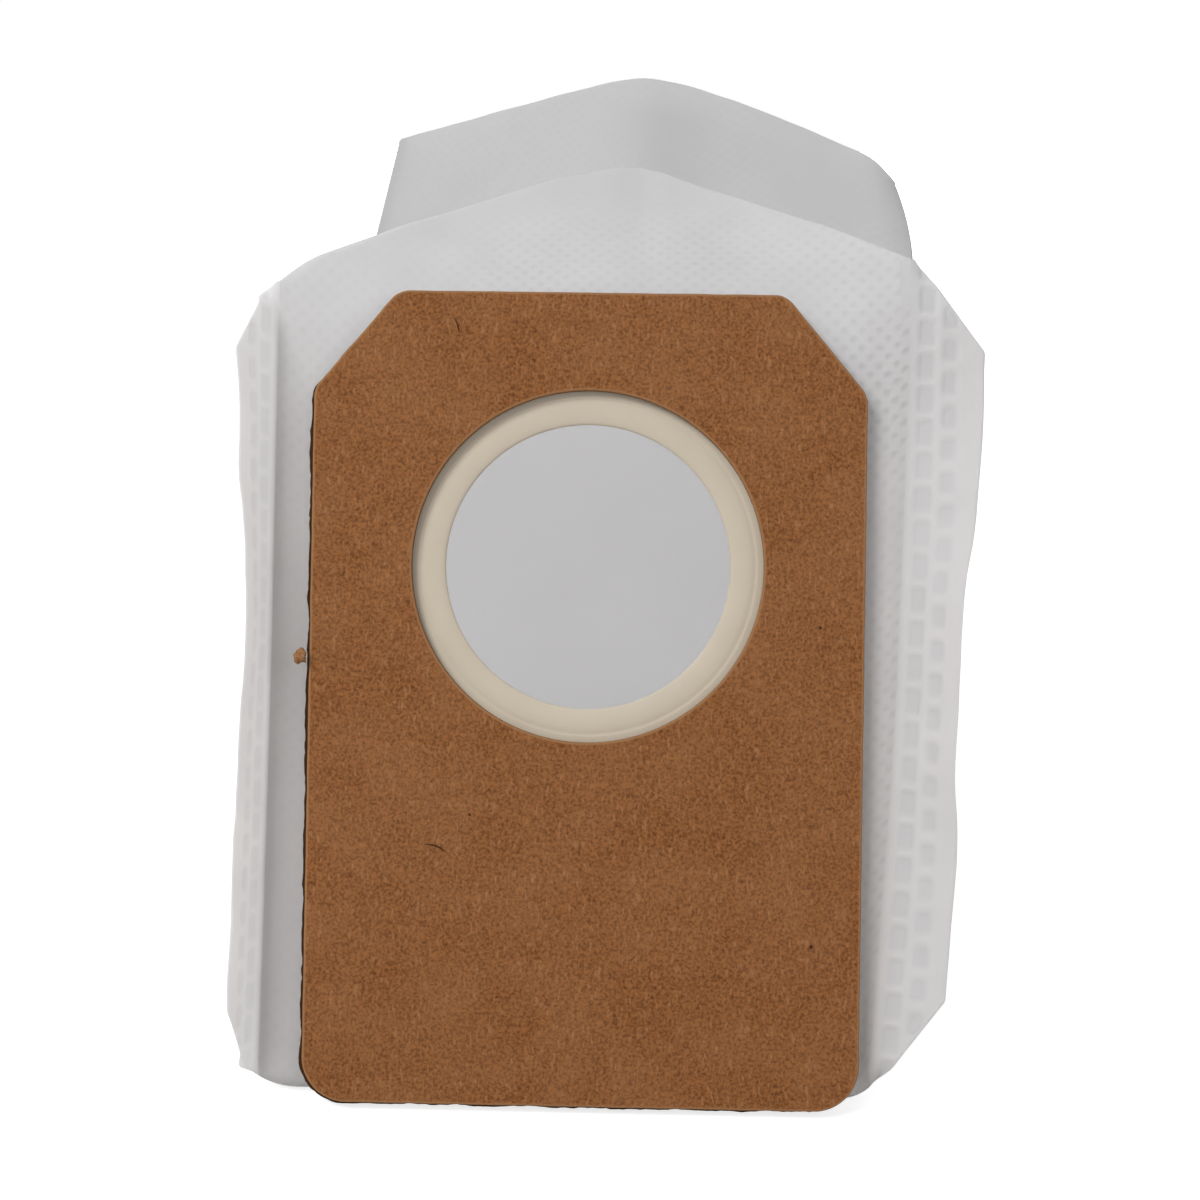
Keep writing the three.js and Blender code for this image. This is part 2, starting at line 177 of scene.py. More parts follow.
FLOOR_HALF = 14
FLOOR_COLOUR = (0.6, 0.6, 0.6, 1)
FLOOR_GLOW = 0.75
floor_mesh = bpy.data.meshes.new("floor")
shape = bmesh.new()
bmesh.ops.create_grid(shape, x_segments=1, y_segments=1, size=FLOOR_HALF)
shape.to_mesh(floor_mesh)
shape.free()
floor = in_scene("floor", floor_mesh)
floor_material = bpy.data.materials.new("floor")
floor_material.use_nodes = True
floor_shader = floor_material.node_tree.nodes["Principled BSDF"]
floor_shader.inputs["Base Color"].default_value = FLOOR_COLOUR
floor_shader.inputs["Roughness"].default_value = 0.9
floor_shader.inputs["Specular IOR Level"].default_value = 0
floor_shader.inputs["Emission Color"].default_value = (1, 1, 1, 1)
glow = floor_material.node_tree.nodes.new("ShaderNodeMath")
glow.operation = "MULTIPLY"
glow.inputs[1].default_value = FLOOR_GLOW
floor_material.node_tree.links.new(seen_as_background(floor_material.node_tree), glow.inputs[0])
floor_material.node_tree.links.new(glow.outputs[0], floor_shader.inputs["Emission Strength"])
floor_mesh.materials.append(floor_material)
bpy.context.scene.view_settings.view_transform = "Standard"
print("floor and", len(PANELS), "lamps")

# %% [markdown]
# ## Finishes
# Node groups make the effects that several finishes need. The first is soft blotches: noise at one
# size, stretched over a chosen range, for the board, the cloth and the ring.

# %% Helpers for node groups
def new_group(name, inputs, outputs):
    group = bpy.data.node_groups.new(name, "ShaderNodeTree")
    for label, kind, value in inputs:
        socket = group.interface.new_socket(name=label, in_out="INPUT", socket_type=kind)
        if value is not None:
            socket.default_value = value
    for label, kind in outputs:
        group.interface.new_socket(name=label, in_out="OUTPUT", socket_type=kind)
    return group, group.nodes.new("NodeGroupInput"), group.nodes.new("NodeGroupOutput")


def node(tree, kind, settings=(), values=()):
    """A new node with its settings and its unlinked inputs given by name or number."""
    made = tree.nodes.new(kind)
    for key, value in dict(settings).items():
        setattr(made, key, value)
    for key, value in dict(values).items():
        made.inputs[key].default_value = value
    return made


def math_node(tree, operation, first, second=None, clamp=False):
    """The output of a Math node. A number goes on its socket, and anything else is linked."""
    made = node(tree, "ShaderNodeMath", {"operation": operation, "use_clamp": clamp})
    for socket, value in zip(made.inputs, (first, second)):
        if isinstance(value, (int, float)):
            socket.default_value = value
        elif value is not None:
            tree.links.new(value, socket)
    return made.outputs[0]


NUMBER, PLACE = "NodeSocketFloat", "NodeSocketVector"

blotches, group_in, group_out = new_group(
    "Blotches",
    [("Place", PLACE, None), ("Per metre", NUMBER, 100.0), ("Detail", NUMBER, 3.0),
     ("Low", NUMBER, 0.3), ("High", NUMBER, 0.7)],
    [("Mask", NUMBER)],
)
cloud = node(blotches, "ShaderNodeTexNoise")
spread = node(blotches, "ShaderNodeMapRange")
for label, socket in (
    ("Place", cloud.inputs["Vector"]), ("Per metre", cloud.inputs["Scale"]),
    ("Detail", cloud.inputs["Detail"]), ("Low", spread.inputs["From Min"]),
    ("High", spread.inputs["From Max"]),
):
    blotches.links.new(group_in.outputs[label], socket)
blotches.links.new(cloud.outputs["Fac"], spread.inputs["Value"])
blotches.links.new(spread.outputs["Result"], group_out.inputs["Mask"])
print("group", blotches.name)

# %% [markdown]
# Spunbond fabric is bonded by a roller with small pins, which leave rows of staggered dots. Two
# square lattices, one moved by half a cell, give such rows. The group puts out a height that is 0
# on the plain cloth and 1 in the middle of a dot.

# %% Emboss group
DOTS_ACROSS, DOTS_ALONG, DOT_RADIUS = 3.1, 3.3, 1.05
emboss, group_in, group_out = new_group(
    "Staggered dots",
    [("Place", PLACE, None), ("Across", NUMBER, DOTS_ACROSS), ("Along", NUMBER, DOTS_ALONG),
     ("Dot", NUMBER, DOT_RADIUS)],
    [("Height", NUMBER)],
)
axes = node(emboss, "ShaderNodeSeparateXYZ")
emboss.links.new(group_in.outputs["Place"], axes.inputs[0])
nearest = None
for shift in (0.0, 0.5):
    squares = []
    for axis, pitch in (("X", "Across"), ("Y", "Along")):
        cells = math_node(emboss, "DIVIDE", axes.outputs[axis], group_in.outputs[pitch])
        moved = math_node(emboss, "ADD", cells, shift)
        inside = math_node(emboss, "SUBTRACT", math_node(emboss, "FRACT", moved), 0.5)
        length = math_node(emboss, "MULTIPLY", inside, group_in.outputs[pitch])
        squares.append(math_node(emboss, "MULTIPLY", length, length))
    away = math_node(emboss, "SQRT", math_node(emboss, "ADD", *squares))
    nearest = away if nearest is None else math_node(emboss, "MINIMUM", nearest, away)
fall = node(
    emboss, "ShaderNodeMapRange", {"interpolation_type": "SMOOTHSTEP"}, {"To Min": 1.0, "To Max": 0.0},
)
emboss.links.new(nearest, fall.inputs["Value"])
emboss.links.new(group_in.outputs["Dot"], fall.inputs["From Max"])
emboss.links.new(fall.outputs["Result"], group_out.inputs["Height"])
print("group", emboss.name)

# %% [markdown]
# ### Kraft board
# The board is pulp: fine mottled fibre in three browns, with lighter and darker flecks a few
# tenths of a millimetre long. The rim is crushed by the cutting die and shows lighter. The rim is
# an attribute on the mesh, so that it follows the outline. A second attribute paints the back half
# of each cut edge and the whole backing ply near black: the raw edge is a little darker, and the
# rest is painted shade in the gap between the plies. The same attribute also marks the dark specks.

# %% Board finish
BOARD_DARK = (0.12, 0.042, 0.014, 1)
BOARD_MIDDLE = (0.315, 0.125, 0.043, 1)
BOARD_LIGHT = (0.44, 0.22, 0.1, 1)
RIM_COLOUR = (0.36, 0.19, 0.088, 1)
# Dark pits and specks, and painted shade: near black on the cut edges between the plies, which are only a
# little darker in themselves.
DARK_FLECK_AND_SHADE_COLOUR = (0.06, 0.026, 0.011, 1)


def grouped(tree, group, place_socket, *values):
    """The output of a node group. The values go on its sockets after Place, in their order."""
    made = node(tree, "ShaderNodeGroup", {"node_tree": group})
    tree.links.new(place_socket, made.inputs["Place"])
    for socket, value in zip(list(made.inputs)[1:], values):
        socket.default_value = value
    return made.outputs[0]


def mixed(tree, first, second, share):
    """A colour mix. Colours are sockets or tuples, and the share is a socket or a number."""
    made = node(tree, "ShaderNodeMix", {"data_type": "RGBA"})
    for socket, value in ((made.inputs[6], first), (made.inputs[7], second), (made.inputs[0], share)):
        if isinstance(value, (tuple, int, float)):
            socket.default_value = value
        else:
            tree.links.new(value, socket)
    return made.outputs[2]


def tinted(tree, colour, paint, mask, share):
    """The colour with some of the paint over it where the mask is high."""
    return mixed(tree, colour, paint, math_node(tree, "MULTIPLY", mask, share))


def attribute_mask(tree, name):
    return node(tree, "ShaderNodeAttribute", {"attribute_name": name}).outputs["Fac"]


def bumped(tree, height, strength, distance):
    made = node(tree, "ShaderNodeBump", {}, {"Strength": strength, "Distance": distance})
    tree.links.new(height, made.inputs["Height"])
    return made.outputs["Normal"]


def new_finish(name, roughness, specular):
    """A material with its node tree, its shader and its texture coordinates."""
    material = bpy.data.materials.new(name)
    material.use_nodes = True
    tree = material.node_tree
    shader = tree.nodes["Principled BSDF"]
    shader.inputs["Roughness"].default_value = roughness
    shader.inputs["Specular IOR Level"].default_value = specular
    return material, tree, shader, node(tree, "ShaderNodeTexCoord")


def board_finish():
    material, tree, shader, coordinates = new_finish("kraft board", 0.92, 0.1)
    spot = coordinates.outputs["Object"]
    pulp = grouped(tree, blotches, spot, 1900.0, 3.0, 0.26, 0.62)
    clouds = grouped(tree, blotches, spot, 90.0, 3.0, 0.35, 0.65)
    strands = node(tree, "ShaderNodeMapping", {}, {"Scale": (1.0, 0.35, 0.35)})
    tree.links.new(spot, strands.inputs["Vector"])
    flecks = grouped(tree, blotches, strands.outputs[0], 1700.0, 2.0, 0.58, 0.7)
    pits = grouped(tree, blotches, spot, 1500.0, 1.0, 0.66, 0.76)
    colour = mixed(tree, BOARD_DARK, BOARD_MIDDLE, pulp)
    colour = tinted(tree, colour, BOARD_LIGHT, flecks, 0.45)
    colour = tinted(tree, colour, BOARD_LIGHT, clouds, 0.16)
    colour = tinted(tree, colour, DARK_FLECK_AND_SHADE_COLOUR, pits, 0.4)
    colour = tinted(tree, colour, RIM_COLOUR, attribute_mask(tree, "rim"), 0.75)
    # Painted shade on the cut edges between the plies, and the dark specks.
    colour = mixed(tree, colour, DARK_FLECK_AND_SHADE_COLOUR, attribute_mask(tree, "speck_and_edge_shade"))
    tree.links.new(colour, shader.inputs["Base Color"])
    height = math_node(tree, "ADD", pulp, math_node(tree, "MULTIPLY", flecks, 0.6))
    tree.links.new(bumped(tree, height, 0.35, 0.00012), shader.inputs["Normal"])
    return material


board_material = board_finish()
print("finish", board_material.name)

# %% [markdown]
# ### Rubber and fabric
# The ring is soft cream rubber with a dull skin. The fabric is a thin white felt: rough, and it lets
# light through, which keeps the inside of the bag bright; its inner face is also whiter, partly as its
# own smoother layer and partly as painted light. Attributes on the mesh say where the dots show, where
# painted shade greys the bellows, where painted shade warmed by light bounced off the board darkens
# the cloth beside the collar, and where a weld pressed it to a smoother film. The left flange stands
# against the light and gets a copy of the finish painted brighter, as painted backlight.

# %% Ring and fabric finishes
RING_COLOUR = (0.62, 0.54, 0.43, 1)
RING_SHADE = (0.57, 0.49, 0.385, 1)
CLOTH_COLOUR = (0.775, 0.768, 0.77, 1)
# Whiter than the outside: partly the smoother inner layer, partly painted light that brightens the inside
# of the bag.
INSIDE_COLOUR = (0.93, 0.93, 0.94, 1)
CLOTH_GREY = (0.64, 0.635, 0.645, 1)
# Painted shade beside the collar, warmed by light bounced off the board.
CLOTH_PAINTED_COLLAR_SHADE = (0.5, 0.44, 0.395, 1)
# The colour of the emboss dots, and of the painted shade on the bellows.
CLOTH_DIM = (0.5, 0.497, 0.507, 1)
# The left flange's cloth and weld colours, painted brighter as painted backlight.
CLOTH_PAINTED_BACKLIT = (0.92, 0.912, 0.905, 1)
WELD_COLOUR = (0.54, 0.535, 0.54, 1)
WELD_PAINTED_BACKLIT = (0.6, 0.59, 0.59, 1)
THROUGH_COLOUR = (0.94, 0.935, 0.935, 1)
LIGHT_THROUGH = 0.3
FLANGE_THROUGH = 0.26
# The left flange's share of light through, raised along with its painted backlit colours.
FLANGE_BRIGHT = 0.5
INSIDE_THROUGH = 0.6
UV_PER_MM = 0.01


def ring_finish():
    material, tree, shader, coordinates = new_finish("seal rubber", 0.62, 0.35)
    spot = coordinates.outputs["Object"]
    clouds = grouped(tree, blotches, spot, 140.0, 3.0, 0.3, 0.7)
    grain = grouped(tree, blotches, spot, 2200.0, 2.0, 0.3, 0.7)
    colour = tinted(tree, RING_COLOUR, RING_SHADE, clouds, 0.5)
    tree.links.new(colour, shader.inputs["Base Color"])
    tree.links.new(bumped(tree, grain, 0.12, 0.00008), shader.inputs["Normal"])
    return material


def let_light_through(tree, shader, share):
    """Mixes the shader of a cloth with one that passes light on, and puts the mix out."""
    through = node(tree, "ShaderNodeBsdfTranslucent", {}, {"Color": THROUGH_COLOUR})
    both = node(tree, "ShaderNodeMixShader", {}, {"Fac": share})
    tree.links.new(shader.outputs[0], both.inputs[1])
    tree.links.new(through.outputs[0], both.inputs[2])
    tree.links.new(both.outputs[0], tree.nodes["Material Output"].inputs["Surface"])


def fabric_finish(name, light_through, cloth_colour, weld_colour):
    material, tree, shader, coordinates = new_finish(name, 0.92, 0.2)
    spot = coordinates.outputs["Object"]
    cloth_place = node(tree, "ShaderNodeVectorMath", {"operation": "SCALE"})
    cloth_place.inputs["Scale"].default_value = 1 / UV_PER_MM
    tree.links.new(coordinates.outputs["UV"], cloth_place.inputs[0])
    dots = grouped(tree, emboss, cloth_place.outputs[0])
    pressed = math_node(tree, "MULTIPLY", dots, attribute_mask(tree, "dots"))
    clouds = grouped(tree, blotches, spot, 70.0, 4.0, 0.3, 0.7)
    fibre = grouped(tree, blotches, spot, 1600.0, 4.0, 0.25, 0.75)
    weld = attribute_mask(tree, "weld")
    colour = tinted(tree, cloth_colour, CLOTH_GREY, clouds, 0.35)
    colour = tinted(tree, colour, CLOTH_DIM, pressed, 0.6)
    # Painted shade on the bellows.
    colour = mixed(tree, colour, CLOTH_DIM, attribute_mask(tree, "bellows_shade"))
    # Painted shade, with a warm board bounce, along the sides of the collar.
    colour = mixed(tree, colour, CLOTH_PAINTED_COLLAR_SHADE, attribute_mask(tree, "collar_shade"))
    colour = tinted(tree, colour, weld_colour, weld, 0.4)
    tree.links.new(colour, shader.inputs["Base Color"])
    tree.links.new(
        math_node(tree, "SUBTRACT", 0.92, math_node(tree, "MULTIPLY", weld, 0.3)),
        shader.inputs["Roughness"],
    )
    height = math_node(tree, "SUBTRACT", math_node(tree, "MULTIPLY", fibre, 0.12), pressed)
    tree.links.new(bumped(tree, height, 0.75, 0.00022), shader.inputs["Normal"])
    let_light_through(tree, shader, light_through)
    return material


def inside_finish():
    material, tree, shader, coordinates = new_finish("filter fabric inside", 0.95, 0.1)
    spot = coordinates.outputs["Object"]
    clouds = grouped(tree, blotches, spot, 50.0, 2.0, 0.3, 0.7)
    colour = tinted(tree, INSIDE_COLOUR, CLOTH_GREY, clouds, 0.1)
    tree.links.new(colour, shader.inputs["Base Color"])
    let_light_through(tree, shader, INSIDE_THROUGH)
    return material


ring_material = ring_finish()
fabric_material = fabric_finish("filter fabric", LIGHT_THROUGH, CLOTH_COLOUR, WELD_COLOUR)
flange_materials = {
    # The left flange gets a copy of the finish with its colours painted brighter, as painted backlight.
    -1: fabric_finish("welded fabric painted backlit", FLANGE_BRIGHT, CLOTH_PAINTED_BACKLIT, WELD_PAINTED_BACKLIT),
    1: fabric_finish("welded fabric", FLANGE_THROUGH, CLOTH_COLOUR, WELD_COLOUR),
}
inside_material = inside_finish()
print("finishes", ring_material.name, "and", fabric_material.name)

# %% [markdown]
# ## Board collar
# Two plies are die cut and glued together. Their outline is a rectangle with its top corners cut off
# and its bottom corners round. A few vertices give the outline, a vertex bevel rounds its corners,
# and a fill round a circle gives the face. An inset marks the crushed rim before the face is pulled
# to its thickness and its edge rounded. The noise that roughens the cut has a fixed seed, so that
# every run gives the same edge. With a few other seeds the even inset throws a spike out of it.

# %% Make a ply
COLLAR_WIDTH, COLLAR_HEIGHT = 100, 146.5
TOP_CUT_ACROSS, TOP_CUT_DOWN = 15, 18
TOP_ROUND, FOOT_ROUND = 4, 8
INLET_HEIGHT = 97
FRONT_HOLE, BACK_HOLE = 31.75, 36.05
BACK_SLIP = (-0.7, -0.5)
CLEARANCE = 0.3
BACK_PLY = 1.2
HOLE_SIDES = 256
EDGE_STEP = 0.8
EDGE_SEED = 5
noise.seed_set(EDGE_SEED)


def finish_piece(name, shape, material, smooth_angle=40):
    """Turns a bmesh in the frame into a piece that rides on the root body."""
    mesh = bpy.data.meshes.new(name)
    shape.to_mesh(mesh)
    shape.free()
    mesh.materials.append(material)
    mesh.shade_smooth()
    mesh.set_sharp_from_angle(angle=math.radians(smooth_angle))
    piece = in_scene(name, mesh)
    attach(piece, "root")
    print(name, len(mesh.polygons), "faces")
    return piece


def set_mask(shape, name, value_of):
    """A number on every vertex for the materials to read: one number, or worked out by value_of."""
    layer = shape.verts.layers.float.get(name) or shape.verts.layers.float.new(name)
    for vert in shape.verts:
        vert[layer] = value_of(vert) if callable(value_of) else value_of


def to_frame(shape, depth):
    """Moves a shape that was made flat, in millimetres with its face up +Z, onto the collar."""
    for vert in shape.verts:
        vert.co = place(vert.co.x, vert.co.y, depth - vert.co.z)


def collar_corners():
    """Corners of the outline, anticlockwise from the lower right: across, up and radius."""
    half = COLLAR_WIDTH / 2
    right = [
        (half, 0, FOOT_ROUND), (half, COLLAR_HEIGHT - TOP_CUT_DOWN, TOP_ROUND),
        (half - TOP_CUT_ACROSS, COLLAR_HEIGHT, TOP_ROUND),
    ]
    return right + [(-x, y, radius) for x, y, radius in reversed(right)]


def make_ply(name, thickness, hole_radius, slip, rough_edge, rim, depth, dark_all_over=False):
    shape = bmesh.new()
    corners = [shape.verts.new((x + slip[0], y + slip[1], 0)) for x, y, _ in collar_corners()]
    for first, second in zip(corners, corners[1:] + corners[:1]):
        shape.edges.new((first, second))
    for vert, (_, _, radius) in zip(corners, collar_corners()):
        ways = [(e.other_vert(vert).co - vert.co).normalized() for e in vert.link_edges]
        reach = radius / math.tan(ways[0].angle(ways[1]) / 2)
        bmesh.ops.bevel(
            shape, geom=[vert], offset=reach, segments=12, profile=0.5, affect="VERTICES", material=-1,
        )
    for edge in list(shape.edges):
        cuts = int(edge.calc_length() / EDGE_STEP)
        if cuts:
            bmesh.ops.subdivide_edges(shape, edges=[edge], cuts=cuts)
    for vert in shape.verts:
        away = noise.noise_vector(vert.co * 0.9) * rough_edge * 0.6
        away += noise.noise_vector(vert.co * 0.23) * rough_edge
        vert.co += Vector((away.x, away.y, 0))
    circle = bmesh.ops.create_circle(shape, segments=HOLE_SIDES, radius=hole_radius)
    bmesh.ops.translate(shape, verts=circle["verts"], vec=(0, INLET_HEIGHT, 0))
    bmesh.ops.triangle_fill(shape, edges=shape.edges[:], use_beauty=True)
    bmesh.ops.recalc_face_normals(shape, faces=shape.faces[:])
    if shape.faces[0].normal.z < 0:
        bmesh.ops.reverse_faces(shape, faces=shape.faces[:])
    bmesh.ops.inset_region(
        shape, faces=shape.faces[:], thickness=rim, depth=0, use_even_offset=True, use_boundary=True,
    )
    face = shape.faces[:]
    pulled = bmesh.ops.extrude_face_region(shape, geom=face)
    risen = [g for g in pulled["geom"] if isinstance(g, bmesh.types.BMVert)]
    bmesh.ops.translate(shape, verts=risen, vec=(0, 0, thickness))
    bmesh.ops.recalc_face_normals(shape, faces=shape.faces[:])
    lip = [
        e for e in shape.edges
        if e.verts[0].co.z > thickness / 2 and e.verts[1].co.z > thickness / 2
        and any(abs(f.normal.z) < 0.5 for f in e.link_faces)
    ]
    set_mask(shape, "rim", 0.0)
    set_mask(shape, "speck_and_edge_shade", 0.0)
    rim_layer = shape.verts.layers.float.get("rim")
    speck_and_edge_shade_layer = shape.verts.layers.float.get("speck_and_edge_shade")
    for edge in lip:
        for vert in edge.verts:
            vert[rim_layer] = 1.0
    rounded = bmesh.ops.bevel(
        shape, geom=lip, offset=rim * 0.55, segments=4, profile=0.5, affect="EDGES", material=-1,
    )
    for vert in rounded["verts"]:
        vert[rim_layer] = 1.0
    # Painted shade: the back half of the cut edge goes near black, and a ply made dark all over goes near
    # black throughout.
    for vert in shape.verts:
        if dark_all_over or vert.co.z < thickness * 0.5:
            vert[speck_and_edge_shade_layer] = 1.0
    to_frame(shape, depth)
    return finish_piece(name, shape, board_material)


collar_face = make_ply("collar_face", FRONT_PLY, FRONT_HOLE, (0, 0), 0.06, 0.55, FRONT_PLY)
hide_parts("collar_front_ply")
# The backing shows only as a thin edge beside the face ply, painted dark all over as shade between the
# plies.
collar_backing = make_ply(
    "collar_backing", BACK_PLY, BACK_HOLE, BACK_SLIP, 0.3, 0.3, FRONT_PLY + CLEARANCE + BACK_PLY,
    dark_all_over=True,
)
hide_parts("collar_back_ply")

# %% [markdown]
# The board sheds a little: a crumb clings to its left edge, a dark fibre lies curled on its face,
# and there are a few specks. The crumb and the specks are small lumps, and a fibre is a thin tube
# of rings joined one to the next.

# %% Crumb, fibres and specks
CRUMB_AT, CRUMB_RADIUS = (-51.3, 80.0, 0.9), 1.15
SPECKS = [(41.2, 29.5, 0.28), (42.0, 86.6, 0.22), (-20.5, 52.0, 0.2)]
FIBRES = [
    [(-28.4, 46.6), (-26.8, 46.4), (-25.6, 45.9), (-24.9, 45.3)],
    [(-24.8, 141.6), (-24.2, 140.2), (-23.9, 138.9)],
]
FIBRE_RADIUS = 0.13


def lump(shape, centre, radius, roughness):
    made = bmesh.ops.create_icosphere(shape, subdivisions=3, radius=radius)
    for vert in made["verts"]:
        vert.co *= 1 + roughness * noise.noise(vert.co * 1.7 / radius)
        vert.co += Vector(centre)


def thin_tube(shape, route):
    rings = []
    last = len(route) - 1
    for i, (x, y) in enumerate(route):
        tip = i in (0, last)
        ring = bmesh.ops.create_circle(
            shape, segments=6, radius=FIBRE_RADIUS * (0.5 if tip else 1.0), cap_ends=tip,
        )
        before, after = Vector(route[max(0, i - 1)]), Vector(route[min(last, i + 1)])
        along = (after - before).normalized().to_3d()
        turned = along.to_track_quat("Z", "Y").to_matrix()
        for vert in ring["verts"]:
            vert.co = turned @ vert.co + Vector((x, y, FIBRE_RADIUS * 0.6))
        rings.append(ring["verts"])
    for pair in zip(rings, rings[1:]):
        edges = [e for e in shape.edges if any(all(v in ring for v in e.verts) for ring in pair)]
        bmesh.ops.bridge_loops(shape, edges=edges)


shape = bmesh.new()
lump(shape, CRUMB_AT, CRUMB_RADIUS, 0.7)
to_frame(shape, 0)
set_mask(shape, "rim", 1.0)
set_mask(shape, "speck_and_edge_shade", 0.0)
finish_piece("board_crumb", shape, board_material)
shape = bmesh.new()
for x, y, radius in SPECKS:
    lump(shape, (x, y, 0), radius, 0.5)
for route in FIBRES:
    thin_tube(shape, route)
bmesh.ops.recalc_face_normals(shape, faces=shape.faces[:])
to_frame(shape, 0)
set_mask(shape, "rim", 0.0)
set_mask(shape, "speck_and_edge_shade", 1.0)
finish_piece("board_specks", shape, board_material)

# %% [markdown]
# ## Seal ring
# A moulded washer with a low rounded lip at its bore. Its section is drawn as a short line of
# points and spun once round the axis of the inlet.

# %% Spin the ring
RING_BORE, RING_WIDTH = 25.75, 10
LIP_WIDTH, LIP_RISE = 5.0, 0.12
RING_STEPS = 192


def ring_section():
    outer = RING_BORE + RING_WIDTH
    soft = 0.35
    lip = [
        (RING_BORE + LIP_WIDTH / 2 * (1 - math.cos(a)), BACK_PLY - soft + (LIP_RISE + soft) * math.sin(a))
        for a in (math.radians(d) for d in range(0, 181, 15))
    ]
    back = [(outer, BACK_PLY), (outer, 0), (RING_BORE + soft, 0), (RING_BORE, soft)]
    shelf = [(r, h if r < RING_BORE + LIP_WIDTH - 0.1 else BACK_PLY) for r, h in lip]
    return shelf + back


shape = bmesh.new()
section = [shape.verts.new((r, 0, h)) for r, h in ring_section()]
edges = [shape.edges.new(pair) for pair in zip(section, section[1:] + section[:1])]
bmesh.ops.spin(
    shape, geom=section + edges, cent=(0, 0, 0), axis=(0, 0, 1), angle=2 * math.pi,
    steps=RING_STEPS, use_merge=True,
)
bmesh.ops.remove_doubles(shape, verts=shape.verts[:], dist=1e-4)
bmesh.ops.recalc_face_normals(shape, faces=shape.faces[:])
bmesh.ops.translate(shape, verts=shape.verts[:], vec=(0, INLET_HEIGHT, 0))
to_frame(shape, FRONT_PLY + CLEARANCE + BACK_PLY)
ring = finish_piece("seal_ring_moulded", shape, ring_material, 50)
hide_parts("seal_ring")

# %% [markdown]
# ## Fabric body
# The body is one web of fabric folded into a loop: front panel, bellows top, rear panel and bottom.
# It is lofted: for each line across the bag its corners are given, in collar millimetres, and the
# cloth runs from corner to corner with a soft fold at each. The front ridge and the rear ridge
# rise to a peak a little right of the middle, and the valley between them is pushed in.

# %% Lines of the folds
CREASE_AT = 8.3
FABRIC = 0.6
PANEL_DEPTH = 3.75
SEAMS = {
    "foot": ((-58.6, 3.75), (51.8, 3.75)),
    "waist": ((-57.5, 3.75), (56.4, 3.75)),
    "ridge": ((-57.4, 5.0), (57.8, 5.0)),
    "valley": ((-54.0, 56.0), (60.0, 56.0)),
    "rear ridge": ((-46.4, 100.0), (64.6, 100.0)),
    "rear foot": ((-48.6, 112.0), (54.9, 112.0)),
}
FRONT_RIDGE = [
    (-59.0, 147.7, 5.0), (-52.0, 153.1, 5.8), (-46.5, 155.8, 7.5), (-40.4, 158.4, 10.0),
    (-25.5, 165.8, 20.0), (-11.3, 171.6, 27.0), (8.3, 178.2, 34.0), (14.4, 174.9, 31.5),
    (25.9, 169.6, 26.0), (43.8, 161.6, 14.0), (57.6, 154.5, 5.0),
]
REAR_RIDGE = [
    (-46.4, 197.2), (-33.0, 201.2), (-20.0, 204.9), (-8.0, 208.2), (2.0, 210.9), (8.3, 211.7),
    (14.5, 210.7), (27.0, 206.9), (40.6, 202.3), (53.2, 196.9), (60.7, 193.2), (64.6, 189.0),
]
VALLEY_LEFT, VALLEY_RIGHT, VALLEY_LIFT = 131.0, 136.0, 9.0
WAIST_HEIGHT, PANEL_TOP, PANEL_RISE = 70.0, 140.0, 7.5
REAR_BULGE = 5.0
FOOT_LIFT = 1.6
SHOULDER = 4.2
PEAK_WORN = 1.3


def smooth_through(points):
    """A function of the first number of each point that passes smoothly through the others."""
    table = np.array(points, float)
    at, values = table[:, 0], table[:, 1:]
    slopes = np.gradient(values, at, axis=0)

    def read(x):
        x = min(max(x, at[0]), at[-1])
        i = min(int(np.searchsorted(at, x, side="right")) - 1, len(at) - 2)
        step = at[i + 1] - at[i]
        q = (x - at[i]) / step
        start, end = values[i], values[i + 1]
        rise = (q**3 - 2 * q**2 + q) * slopes[i] * step + (q**3 - q**2) * slopes[i + 1] * step
        return (2 * q**3 - 3 * q**2 + 1) * start + (3 * q**2 - 2 * q**3) * end + rise

    return read


front_left = smooth_through([p for p in FRONT_RIDGE if p[0] <= CREASE_AT])
front_right = smooth_through([p for p in FRONT_RIDGE if p[0] >= CREASE_AT])
rear_ridge = smooth_through(REAR_RIDGE)


def front_ridge(x):
    """Height and depth of the front ridge, with its peak at the crease worn round."""
    height, depth = front_left(x) if x < CREASE_AT else front_right(x)
    return height - PEAK_WORN * math.exp(-((x - CREASE_AT) / 3) ** 2), depth


def between(t, line):
    """Where the line t (-1 left seam, 0 crease, 1 right seam) crosses a fold whose ends are given."""
    left, right = SEAMS[line]
    end = left if t < 0 else right
    x = CREASE_AT + (end[0] - CREASE_AT) * abs(t)
    return x, end[1]


